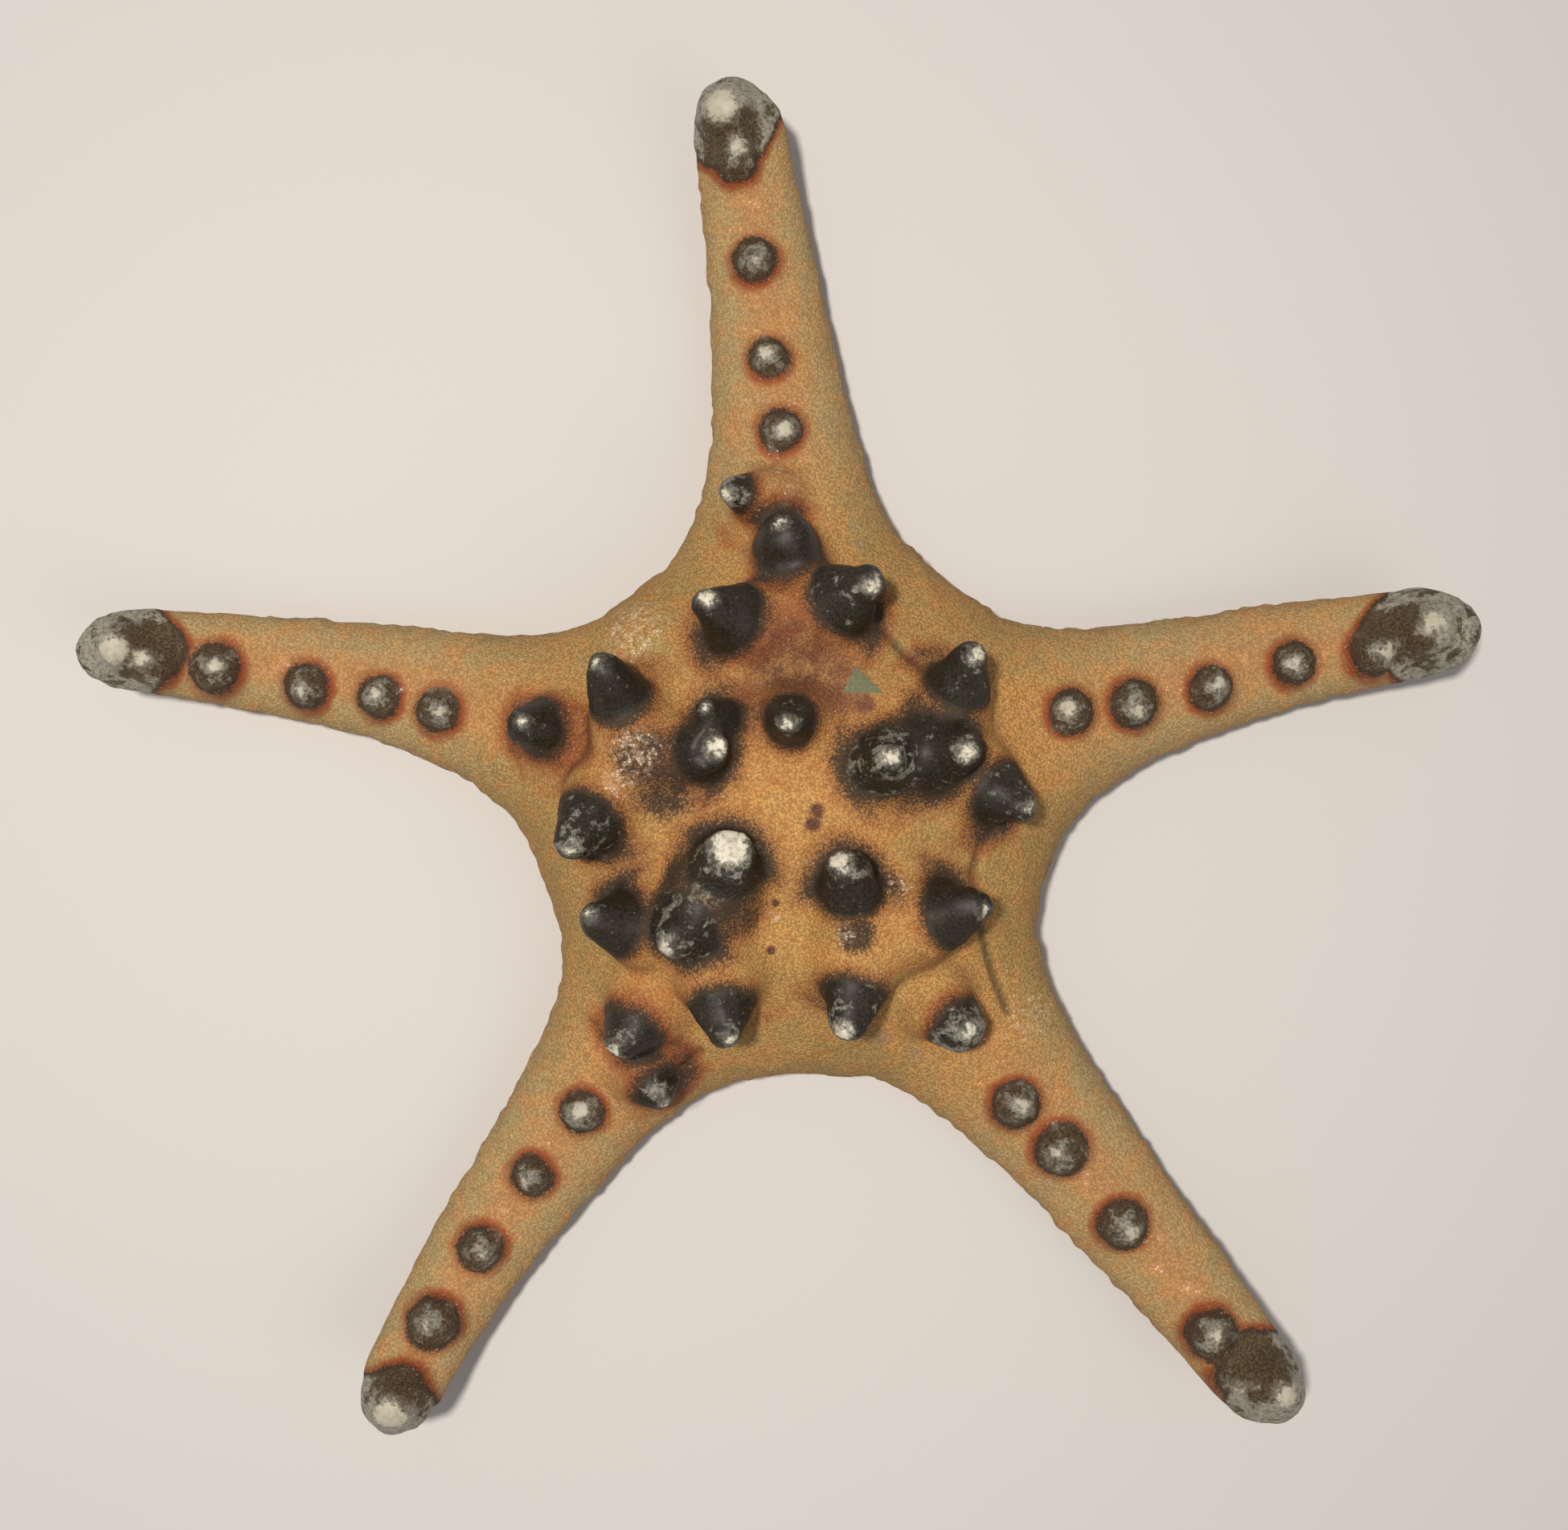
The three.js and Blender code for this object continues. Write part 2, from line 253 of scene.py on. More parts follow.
def blend_union(a, b, size):
    """The union of two fields, with a fillet of about that size where they meet."""
    overlap = np.maximum(size - np.abs(a - b), 0) / size
    return np.minimum(a, b) - overlap * overlap * size / 4


def blend_cut(a, b, size):
    """Field a without what is inside field b."""
    return -blend_union(-a, b, size)


# The body ----------


def bow_at(arm, along):
    share = np.clip(along / arm.length, 0, 1)
    return arm.bow * np.sin(math.pi * share ** (math.log(0.5) / math.log(arm.bow_peak)))


def arm_position(arm, x, y):
    """Distance along an arm from the disc's centre, and offset to the left of its middle line."""
    heading = math.radians(arm.heading)
    dx, dy = x - DISC_CENTRE[0], y - DISC_CENTRE[1]
    along = dx * math.cos(heading) + dy * math.sin(heading)
    left = dy * math.cos(heading) - dx * math.sin(heading)
    return along, left - bow_at(arm, along)


def arm_point(arm, along, left):
    heading = math.radians(arm.heading)
    across = left + bow_at(arm, along)
    return (
        DISC_CENTRE[0] + along * math.cos(heading) - across * math.sin(heading),
        DISC_CENTRE[1] + along * math.sin(heading) + across * math.cos(heading),
    )


def half_width(arm, along, side):
    """Half-width of an arm on one side (1 is left), with the web between it and its neighbour."""
    index = ARMS.index(arm)
    if side > 0:
        first, second = arm, ARMS[(index + 1) % 5]
    else:
        first, second = ARMS[index - 1], arm
    gap = math.radians((second.heading - first.heading) % 360)
    web_along = first.web * math.cos(gap / 2)
    web_half_width = first.web * math.sin(gap / 2) - side * bow_at(arm, web_along)
    extra = web_half_width - arm.girth * (ARM_HALF_WIDTH - ARM_NARROWING * web_along)
    spread = extra * np.exp((web_along - np.maximum(along, web_along - WEB_INSIDE)) / WEB_FADE)
    return arm.girth * (ARM_HALF_WIDTH - ARM_NARROWING * along) + spread


def across_share(arm, along, left):
    """0 on the arm's middle line and 1 on its outline, and the half-width there."""
    width = np.where(left > 0, half_width(arm, along, 1), half_width(arm, along, -1))
    return np.abs(left) / width, width


def lift_at(arm, along):
    share = np.clip(along - LIFT_START, 0, None) / (arm.length - LIFT_START)
    return TIP_LIFT * share**2


def back_at(along):
    """Height of the back above the rim, along an arm's middle line."""
    shoulder = (DISC_HEIGHT - ARM_HEIGHT) / (1 + (np.abs(along) / SHOULDER_LENGTH) ** 3)
    return ARM_HEIGHT - RIM_HEIGHT + shoulder


def round_form(parts):
    """Distance to a rounded form, from the position and half-size along each direction."""
    near = np.sqrt(sum((position / size) ** 2 for position, size in parts))
    steep = np.sqrt(sum((position / size**2) ** 2 for position, size in parts))
    return near * (near - 1) / np.maximum(steep, 1e-6)


def arm_field(arm, x, y, z):
    along, left = arm_position(arm, x, y)
    _, width = across_share(arm, along, left)
    past_end = np.maximum(along - (arm.length - TIP_LENGTH), 0)
    behind = np.minimum(along, 0)
    rim = RIM_HEIGHT + lift_at(arm, along)
    height = np.where(z > rim, back_at(along), BELLY_DEPTH)
    form = round_form(
        ((left, width), (past_end, TIP_LENGTH), (behind, INNER_END), (z - rim, height))
    )
    belly = rim - RIM_HEIGHT - z
    return np.maximum(form, belly)


def dome_field(x, y, z):
    dx, dy = x - DISC_CENTRE[0], y - DISC_CENTRE[1]
    radius = np.mean([arm.web for arm in ARMS]) - DISC_INSET
    height = np.where(z > RIM_HEIGHT, DISC_HEIGHT - RIM_HEIGHT, BELLY_DEPTH)
    return round_form(((dx, radius), (dy, radius), (z - RIM_HEIGHT, height)))


def body_field(x, y, z):
    out = np.hypot(x - DISC_CENTRE[0], y - DISC_CENTRE[1])
    # the fillets are smaller near the middle of the dome
    blend = WEB_BLEND * (0.25 + 0.75 * smooth_step(out, 12, 35))
    field = dome_field(x, y, z)
    for arm in ARMS:
        field = blend_union(field, arm_field(arm, x, y, z), blend)
    return np.maximum(field, -z)


def groove_field(x, y, z):
    """The groove under each arm and the mouth in the middle."""
    dx, dy = x - DISC_CENTRE[0], y - DISC_CENTRE[1]
    field = round_form(((dx, MOUTH_RADIUS), (dy, MOUTH_RADIUS), (z, MOUTH_DEPTH)))
    for arm in ARMS:
        along, left = arm_position(arm, x, y)
        ends = np.maximum(along - arm.length + GROOVE_END, 0) + np.minimum(along, 0)
        depth = z - lift_at(arm, along)
        trough = round_form(
            ((left, GROOVE_HALF_WIDTH), (ends, GROOVE_HALF_WIDTH), (depth, GROOVE_DEPTH))
        )
        field = blend_union(field, trough, GROOVE_BLEND)
    return field


# Horns and knobs ----------


def cone_field(points, foot, tip, foot_radius, tip_radius):
    """Distance to a cone with round ends, from the middles of its end spheres."""
    axis = tip - foot
    length2 = axis @ axis
    taper = foot_radius - tip_radius
    slant2 = length2 - taper**2
    from_foot = points - foot
    up = from_foot @ axis
    past = up - length2
    aside2 = np.sum((from_foot * length2 - up[..., None] * axis) ** 2, axis=-1)
    limit = np.sign(taper) * taper**2 * aside2
    side = (np.sqrt(aside2 * slant2 / length2) + up * taper) / length2 - foot_radius
    at_tip = np.sqrt(aside2 + past**2 * length2) / length2 - tip_radius
    at_foot = np.sqrt(aside2 + up**2 * length2) / length2 - foot_radius
    field = np.where(np.sign(up) * slant2 * up**2 * length2 < limit, at_foot, side)
    return np.where(np.sign(past) * slant2 * past**2 * length2 > limit, at_tip, field)


@dataclass
class Spike:
    """A horn or a knob in place: the middles and radii of its two ends."""

    foot: np.ndarray
    tip: np.ndarray
    foot_radius: float
    tip_radius: float
    skin: np.ndarray  # the point of the skin that it stands on
    end: np.ndarray  # the very end of its tip
    rubbed: float
    scuffed: float
    skinned: float  # how far up a horn its skin reaches, or the radius of a knob's bare top
    blend: float
    rust: float
    is_horn: bool
    broken: float = 0
    outward: tuple = (0, 0)  # for knobs, the way along the arm
    cap: float = 0  # for the last knob on an arm, how far the bare end reaches in from it

    def axis(self):
        reach = self.end - self.skin
        return reach / np.linalg.norm(reach)

    def field(self, points):
        field = cone_field(points, self.foot, self.tip, self.foot_radius, self.tip_radius)
        if not self.broken:
            return field
        up = self.axis() + np.array((0, 0, BREAK_TILT))
        up /= np.linalg.norm(up)
        height = (points - self.end) @ up + self.broken
        rough = noise(points.reshape(-1, 3), BREAK_SIZE, BREAK_SEED).reshape(height.shape)
        return np.maximum(field, height + BREAK_ROUGHNESS * rough)


def horn_spike(horn, skin_height):
    skin = np.array((*horn.base, skin_height(*horn.base)))
    reach = np.array((*horn.lean, horn.rise + BROKEN_EXTRA * horn.broken))
    axis = reach / np.linalg.norm(reach)
    tip_radius = (BROKEN_TIP if horn.broken else horn.tip) * horn.radius
    out = np.hypot(skin[0] - DISC_CENTRE[0], skin[1] - DISC_CENTRE[1])
    return Spike(
        foot=skin - HORN_SINK * axis,
        tip=skin + reach - tip_radius * axis,
        foot_radius=horn.radius,
        tip_radius=tip_radius,
        skin=skin,
        end=skin + reach,
        rubbed=horn.rubbed,
        scuffed=horn.scuffed,
        skinned=horn.skinned * np.linalg.norm(reach),
        blend=HORN_BLEND,
        rust=0.45 + 0.4 * smooth_step(out, 20, 45),
        is_horn=True,
        broken=horn.broken,
    )


def knob_spike(arm, knob, skin_height):
    along, left, radius, rubbed = knob
    x, y = arm_point(arm, along, left)
    skin = np.array((x, y, skin_height(x, y)))
    ahead = np.subtract(arm_point(arm, along + 1, left), arm_point(arm, along - 1, left))
    up = np.array((0, 0, 1))
    foot = skin - KNOB_SINK * radius * up
    end = foot + KNOB_RISE * radius * up
    return Spike(
        foot=foot,
        tip=end - KNOB_TIP * radius * up,
        foot_radius=KNOB_FOOT * radius,
        tip_radius=KNOB_TIP * radius,
        skin=skin,
        end=end,
        rubbed=rubbed,
        scuffed=KNOB_SCUFFED,
        skinned=BARE_KNOB * radius,
        blend=KNOB_BLEND,
        rust=1,
        is_horn=False,
        outward=(ahead[0] / 2, ahead[1] / 2),
        cap=arm.cap if knob is arm.knobs[-1] else 0,
    )


# The mesh ----------


def grid_axes():
    """The grid's x, y and z values: the CAD box and a little more."""
    low, high = np.array(cad_box) / MM
    return [np.arange(a - GRID_MARGIN, b + GRID_MARGIN, GRID_STEP) for a, b in zip(low, high)]


def star_field(axes):
    """The whole star's field on the grid, and its horns and knobs."""
    x, y, z = np.meshgrid(*axes, indexing="ij", sparse=True)
    field = body_field(x, y, z).astype(np.float32)

    def skin_height(px, py):
        column = field[np.argmin(abs(axes[0] - px)), np.argmin(abs(axes[1] - py))]
        top = np.nonzero(column < 0)[0][-1]
        rest = column[top] / (column[top] - column[top + 1])
        return axes[2][top] + rest * GRID_STEP

    spikes = [knob_spike(arm, knob, skin_height) for arm in ARMS for knob in arm.knobs]
    spikes += [horn_spike(horn, skin_height) for horn in HORNS]
    for spike in spikes:
        reach = spike.foot_radius + 2 * spike.blend
        low = np.minimum(spike.foot, spike.tip) - reach
        high = np.maximum(spike.foot, spike.tip) + reach
        box = tuple(
            slice(np.searchsorted(a, lo), np.searchsorted(a, hi))
            for a, lo, hi in zip(axes, low, high)
        )
        points = np.stack(
            np.meshgrid(*(a[s] for a, s in zip(axes, box)), indexing="ij"), axis=-1
        )
        field[box] = blend_union(field[box], spike.field(points), spike.blend)
    low_part = z[0, 0] < HIGHEST_GROOVE
    below = field[:, :, low_part]
    cut = groove_field(x, y, z[:, :, low_part])
    field[:, :, low_part] = blend_cut(below, cut, GROOVE_LIP)
    return field, spikes


def zero_surface(field, axes):
    """Points and four-sided faces where the field is zero: one point in each grid cell that the
    surface crosses, at the mean of its crossings of the cell's edges."""
    inside = field < 0
    shape = np.array(field.shape) - 1
    corners = [np.array(c) for c in np.ndindex(2, 2, 2)]
    full = sum(
        inside[c[0] : c[0] + shape[0], c[1] : c[1] + shape[1], c[2] : c[2] + shape[2]].astype(int)
        for c in corners
    )
    cells = np.argwhere((full > 0) & (full < 8))
    total = np.zeros((len(cells), 3))
    count = np.zeros(len(cells))
    for a in corners:
        for direction in range(3):
            if a[direction]:
                continue
            b = a.copy()
            b[direction] = 1
            value_a = field[tuple((cells + a).T)]
            value_b = field[tuple((cells + b).T)]
            crossed = (value_a < 0) != (value_b < 0)
            share = value_a[crossed] / (value_a[crossed] - value_b[crossed])
            total[crossed] += a + share[:, None] * (b - a)
            count[crossed] += 1
    points = cells + total / count[:, None]

    number = np.full(shape, -1)
    number[tuple(cells.T)] = np.arange(len(cells))
    faces = []
    for direction in range(3):
        u, v = (direction + 1) % 3, (direction + 2) % 3
        step = np.eye(3, dtype=int)
        low = [slice(0, -1) if d == direction else slice(1, -1) for d in range(3)]
        high = [slice(1, None) if d == direction else slice(1, -1) for d in range(3)]
        changed = np.argwhere(inside[tuple(low)] != inside[tuple(high)])
        changed += 1 - step[direction]
        ring = [changed - step[u] - step[v], changed - step[v], changed, changed - step[u]]
        quads = np.stack([number[tuple(corner.T)] for corner in ring], axis=1)
        leaving = inside[tuple(changed.T)]
        faces.append(np.where(leaving[:, None], quads, quads[:, ::-1]))
    origin = np.array([a[0] for a in axes])
    return origin + points * GRID_STEP, np.concatenate(faces)


def field_at(field, axes, points):
    """The grid's field at any points, and its gradient."""
    place = (points - np.array([a[0] for a in axes])) / GRID_STEP
    cell = np.clip(np.floor(place).astype(int), 0, np.array(field.shape) - 2)
    share = place - cell
    value = np.zeros(len(points))
    slope = np.zeros((len(points), 3))
    for corner in np.ndindex(2, 2, 2):
        weights = np.where(corner, share, 1 - share)
        sample = field[tuple((cell + corner).T)]
        value += weights.prod(axis=1) * sample
        for d in range(3):
            others = weights.prod(axis=1) / np.maximum(weights[:, d], 1e-9)
            slope[:, d] += (1 if corner[d] else -1) * others * sample / GRID_STEP
    return value, slope


def settled(points, faces, field, axes, rounds=3, evening=0.6):
    """The points evened out along the surface and brought back onto it."""
    a = faces.ravel()
    b = np.roll(faces, -1, axis=1).ravel()
    count = np.bincount(a, minlength=len(points)) + np.bincount(b, minlength=len(points))
    for _ in range(rounds):
        middle = np.stack(
            [
                np.bincount(a, points[b, d], len(points)) + np.bincount(b, points[a, d], len(points))
                for d in range(3)
            ],
            axis=1,
        )
        points = (1 - evening) * points + evening * middle / count[:, None]
        value, slope = field_at(field, axes, points)
        # where the field is nearly flat, the way back is uncertain: it stays short
        steep = np.maximum(np.sum(slope**2, axis=1), 0.05)
        move = (value / steep)[:, None] * slope
        points = points - np.clip(move, -0.5, 0.5)
    return points


def mesh_from(name, points, faces):
    mesh = bpy.data.meshes.new(name)
    mesh.vertices.add(len(points))
    mesh.vertices.foreach_set("co", (points * MM).astype(np.float32).ravel())
    mesh.loops.add(faces.size)
    mesh.loops.foreach_set("vertex_index", faces.astype(np.int32).ravel())
    mesh.polygons.add(len(faces))
    mesh.polygons.foreach_set("loop_start", np.arange(0, faces.size, 4, dtype=np.int32))
    mesh.update(calc_edges=True)
    mesh.shade_smooth()
    return mesh


def point_normals(mesh):
    normals = np.zeros(len(mesh.vertices) * 3, np.float32)
    mesh.vertex_normals.foreach_get("vector", normals)
    return normals.reshape(-1, 3).astype(float)


# What the material needs to know of each point ----------


FARTHEST_ACROSS = 1.2  # points under a web's fillet are outside both arms' outlines
SPIKE_REACH = 30  # how far round it a horn or knob is felt
FAR_OFF = -99.0
GOLDEN_ANGLE = 2.4  # in radians: no two neighbours' patches turn to the same side


def arm_coordinates(points):
    """The shares of the length and the half-width, on the arm that each point belongs to."""
    best = np.full(len(points), np.inf)
    along_best = np.zeros(len(points))
    for arm in ARMS:
        along, left = arm_position(arm, points[:, 0], points[:, 1])
        across, _ = across_share(arm, along, left)
        closer = (across < best) & (along > 0)
        best[closer] = across[closer]
        along_best[closer] = along[closer] / arm.length
    return along_best, np.minimum(best, FARTHEST_ACROSS)


def bare_on_horn(spike, points):
    """How far points are into a horn's bare part. The skin covers more of its uphill side and
    fades out more slowly there."""
    p = points - spike.skin
    downhill = p @ (spike.axis() * (1, 1, 0)) / 5
    bare = p @ spike.axis() - spike.skinned + 1.5 * np.clip(downhill, -1, 0.7)
    # its flared foot is skin too
    off = cone_field(points, spike.foot, spike.tip, spike.foot_radius, spike.tip_radius)
    bare = np.minimum(bare, 1.5 - 0.8 * off)
    slower = 1 - 0.55 * smooth_step(-downhill, -0.2, 0.8)
    return np.where(bare < 0, bare * slower, bare)


def bare_on_knob(spike, points):
    """How far points are into a knob's bare top or an arm's bare end, how scuffed it is there,
    and how rusty the skin is, most on the side of the disc."""
    p = (points - spike.skin)[:, :2]
    aside = np.linalg.norm(p, axis=1)
    along = p @ np.array(spike.outward)
    rust = spike.rust * (0.75 - 0.3 * along / np.maximum(aside, 1))
    if not spike.cap:
        return spike.skinned - aside, spike.scuffed, rust
    across2 = aside**2 - along**2
    bare = along + spike.cap - CAP_CURVE * across2
    # an arm's end is scuffed all round, but not on its inner slope
    scuffed = np.maximum(smooth_step(along, -4.5, 1.5), smooth_step(across2, 6, 30))
    return bare, 0.2 + 0.5 * scuffed, rust


def rubbed_middle(spike, count):
    """The middle of the rubbed patch: on the tip, a little upwards and to a side that differs
    from spike to spike, or on the break."""
    facing = spike.axis() + np.array((0, 0, 0.4))
    facing /= np.linalg.norm(facing)
    turn = GOLDEN_ANGLE * count
    facing += 0.35 * np.array((math.cos(turn), math.sin(turn), 0))
    if spike.broken:
        return spike.end - 0.7 * spike.broken * facing
    return spike.tip + spike.tip_radius * facing / np.linalg.norm(facing)


def horn_numbers(points, spikes):
    """Numbers for the material, by the nearest horn or knob.

    bare: millimetres into its bare part, negative on granular skin.
    rubbed: millimetres into the pale patch on its tip.
    scuffed: the share of the bare part that is scuffed grey.
    rust: how rusty the skin is round it.
    brown: 0 on horns and 1 on knobs and the arms' ends.
    """
    bare = np.full(len(points), FAR_OFF)
    rubbed = np.full(len(points), FAR_OFF)
    scuffed, rust, brown = np.zeros((3, len(points)))
    for count, spike in enumerate(spikes):
        near = np.linalg.norm(points - spike.skin, axis=1) < SPIKE_REACH
        if spike.is_horn:
            own = bare_on_horn(spike, points[near])
            own_scuffed, own_rust = spike.scuffed, spike.rust
        else:
            own, own_scuffed, own_rust = bare_on_knob(spike, points[near])
        closer = own > bare[near]
        index = np.nonzero(near)[0][closer]
        bare[index] = own[closer]
        scuffed[index] = np.broadcast_to(own_scuffed, own.shape)[closer]
        rust[index] = np.broadcast_to(own_rust, own.shape)[closer]
        brown[index] = 0 if spike.is_horn else 1
        middle = rubbed_middle(spike, count)
        worn = spike.rubbed - np.linalg.norm(points[near] - middle, axis=1)
        rubbed[near] = np.maximum(rubbed[near], worn)
    return bare, rubbed, scuffed, rust, brown


def crease_distance(points):
    """Distance from the nearest crease, seen from above."""
    nearest = np.full(len(points), -FAR_OFF)
    for crease in CREASES:
        for start, end in zip(crease, crease[1:]):
            start, step = np.array(start), np.subtract(end, start)
            share = np.clip((points[:, :2] - start) @ step / (step @ step), 0, 1)
            away = np.linalg.norm(points[:, :2] - start - share[:, None] * step, axis=1)
            nearest = np.minimum(nearest, away)
    return nearest


def plate_edges():
    """The way in from each edge of the sieve plate, and how far out that edge lies."""
    middle = np.mean(SIEVE_PLATE, axis=0)
    edges = []
    for corner, following in zip(SIEVE_PLATE, SIEVE_PLATE[1:] + SIEVE_PLATE[:1]):
        along = np.subtract(following, corner)
        inward = np.array((-along[1], along[0])) / np.linalg.norm(along)
        inward *= np.sign((middle - corner) @ inward)
        edges.append((inward, inward @ corner))
    return edges


def roughened(mesh, points, bare, across, crease):
    """The points moved along the surface's normals: low waves, the margin's scallops, dents in
    the horns, the creases and the sieve plate."""
    normals = point_normals(mesh)
    above = smooth_step(points[:, 2], 3, 6)
    height = waves(points, SKIN_WAVES)
    margin = smooth_step(across, 0.85, 1) * (1 - smooth_step(points[:, 2], 10, 14))
    height += SCALLOP_HEIGHT * margin * noise(points, SCALLOP_SIZE, SCALLOP_SEED)
    height += smooth_step(bare, -1, 1) * waves(points, HORN_DENTS)
    height -= CREASE_DEPTH * (1 - smooth_step(crease, 0, CREASE_HALF_WIDTH))
    depth = np.min([points[:, :2] @ inward - out for inward, out in plate_edges()], axis=0)
    height += SIEVE_PLATE_RISE * smooth_step(depth, -0.4, 0.4)
    # less below, and nothing where the star rests
    height *= np.where(points[:, 2] > 12, 1, 0.3 + 0.7 * above)
    flat = (points[:, 2] < 0.4) & (normals[:, 2] < -0.7)
    height[flat] = 0
    moved = points + height[:, None] * normals
    moved[:, 2] = np.maximum(moved[:, 2], 0)
    return moved


def spine_mesh(foot, axis):
    """A spine from its foot along its axis: its points, and faces with four corners."""
    side = np.cross(axis, (0, 0, 1))
    side /= np.linalg.norm(side)
    other = np.cross(side, axis)
    points = []
    for up, radius in SPINE_RINGS:
        for corner in range(SPINE_SIDES):
            angle = math.tau * corner / SPINE_SIDES
            aside = SPINE_RADIUS * radius * (math.cos(angle) * side + math.sin(angle) * other)
            points.append(foot + SPINE_LENGTH * up * axis + aside)
    faces = []
    for ring in range(len(SPINE_RINGS) - 1):
        for corner in range(SPINE_SIDES):
            a = ring * SPINE_SIDES + corner
            b = ring * SPINE_SIDES + (corner + 1) % SPINE_SIDES
            faces.append((b, a, a + SPINE_SIDES, b + SPINE_SIDES))
    end = (len(SPINE_RINGS) - 1) * SPINE_SIDES
    # its six-cornered end, as two faces
    faces += [(end + 3, end + 2, end + 1, end), (end, end + 5, end + 4, end + 3)]
    return np.array(points), np.array(faces)


def groove_spines():
    """Rows of small spines along both lips of each groove, leaning in over it."""
    points, faces, count = [], [], 0
    for arm in ARMS:
        for side in (-1, 1):
            for along in np.arange(SPINE_START, arm.length - SPINE_STOP, SPINE_SPACING):
                lip = arm_point(arm, along, side * (GROOVE_HALF_WIDTH + 0.2))
                # the two rows lean a little past each other
                inner = arm_point(arm, along + 0.3 * side, 0)
                height = lift_at(arm, along) + SPINE_RADIUS
                axis = np.array((inner[0] - lip[0], inner[1] - lip[1], 1.4))
                spine, sides = spine_mesh(np.array((*lip, height)), axis / np.linalg.norm(axis))
                points.append(spine)
                faces.append(sides + count)
                count += len(spine)
    return np.concatenate(points), np.concatenate(faces)


def flat_uv(mesh, points):
    """A map seen from above for the back and from below for the underside, side by side."""
    layer = mesh.uv_layers.new(name="OFBake")
    normals = np.zeros(len(mesh.polygons) * 3, np.float32)
    mesh.polygons.foreach_get("normal", normals)
    under = np.repeat(normals.reshape(-1, 3)[:, 2] < -0.2, 4)
    corner = np.zeros(len(mesh.loops), np.int32)
    mesh.loops.foreach_get("vertex_index", corner)
    low = points.min(axis=0)[:2]
    size = np.ptp(points, axis=0)[:2].max() * 1.01
    place = (points[corner, :2] - low) / size
    place[:, 0] = place[:, 0] / 2 + np.where(under, 0.5, 0)
    layer.data.foreach_set("uv", place.astype(np.float32).ravel())


def add_numbers(mesh, **columns):
    """Each column is the skin's numbers, point by point, and the one number of all the spines."""
    for name, (of_skin, of_spines) in columns.items():
        values = np.full(len(mesh.vertices), of_spines, np.float32)
        values[: len(of_skin)] = of_skin
        attribute = mesh.attributes.new(name, "FLOAT", "POINT")
        attribute.data.foreach_set("value", values)


def make_star():
    axes = grid_axes()
    field, spikes = star_field(axes)
    points, faces = zero_surface(field, axes)
    points = settled(points, faces, field, axes)
    along, across = arm_coordinates(points)
    bare, rubbed, scuffed, rust, brown = horn_numbers(points, spikes)
    crease = crease_distance(points)
    smooth = mesh_from("smooth", points, faces)
    points = roughened(smooth, points, bare, across, crease)
    bpy.data.meshes.remove(smooth)

    spines, spine_faces = groove_spines()
    spine_faces += len(points)
    points = np.concatenate([points, spines])
    mesh = mesh_from("starfish_skin", points, np.concatenate([faces, spine_faces]))
    add_numbers(
        mesh,
        bare=(bare, FAR_OFF),
        rubbed=(rubbed, FAR_OFF),
        scuffed=(scuffed, 0),
        rust=(rust, 0),
        brown=(brown, 0),
        crease=(crease, -FAR_OFF),
        along=(along, 0.5),
        across=(across, 0),
        spine=(np.zeros(len(bare)), 1),
    )
    flat_uv(mesh, points)
    star = bpy.data.objects.new("starfish_skin", mesh)
    bpy.context.scene.collection.objects.link(star)
    return star


# Materials ----------


class Shader:
    """A material's node tree, with a short call for each kind of node."""

    def __init__(self, name):
        self.material = bpy.data.materials.new(name)
        self.material.use_nodes = True
        self.tree = self.material.node_tree
        self.tree.nodes.clear()

    def node(self, kind, inputs=None, **settings):
        node = self.tree.nodes.new(kind)
        for key, value in settings.items():
            setattr(node, key, value)
        for key, value in (inputs or {}).items():
            if isinstance(value, bpy.types.NodeSocket):
                self.tree.links.new(value, node.inputs[key])
            else:
                node.inputs[key].default_value = value
        return node

    def math(self, operation, a, b=0.0):
        return self.node("ShaderNodeMath", {0: a, 1: b}, operation=operation).outputs[0]

    def vector(self, operation, a, b):
        node = self.node("ShaderNodeVectorMath", {0: a, 1: b}, operation=operation)
        return node.outputs["Value" if operation in ("DISTANCE", "DOT_PRODUCT") else "Vector"]

    def ramp(self, value, low, high, to_low=0.0, to_high=1.0):
        """The value's place between low and high, eased in and out and clamped."""
        inputs = {"Value": value, "From Min": low, "From Max": high}
        inputs |= {"To Min": to_low, "To Max": to_high}
        node = self.node("ShaderNodeMapRange", inputs, interpolation_type="SMOOTHSTEP")
        return node.outputs["Result"]

    def product(self, *values):
        total = values[0]
        for value in values[1:]:
            total = self.math("MULTIPLY", total, value)
        return total

    def most(self, *values):
        total = values[0]
        for value in values[1:]:
            total = self.math("MAXIMUM", total, value)
        return total

    def swing(self, value, size):
        """A random number from 0 to 1 turned into one from -size / 2 to size / 2."""
        return self.math("MULTIPLY", self.math("SUBTRACT", value, 0.5), size)

    def mix(self, share, a, b, blend="MIX"):
        node = self.node("ShaderNodeMix", data_type="RGBA", blend_type=blend)
        for key, value in (("Factor_Float", share), ("A_Color", a), ("B_Color", b)):
            socket = next(s for s in node.inputs if s.identifier == key)
            if isinstance(value, bpy.types.NodeSocket):
                self.tree.links.new(value, socket)
            else:
                socket.default_value = value
        return next(s for s in node.outputs if s.identifier == "Result_Color")

    def number(self, name):
        return self.node("ShaderNodeAttribute", attribute_name=name).outputs["Fac"]

    def grey(self, value):
        inputs = {0: value, 1: value, 2: value}
        return self.node("ShaderNodeCombineColor", inputs).outputs[0]

    def noise(self, place, scale, detail=3.0, roughness=0.55, distortion=0.0):
        inputs = {
            "Vector": place,
            "Scale": scale,
            "Detail": detail,
            "Roughness": roughness,
            "Distortion": distortion,
        }
        return self.node("ShaderNodeTexNoise", inputs).outputs["Fac"]


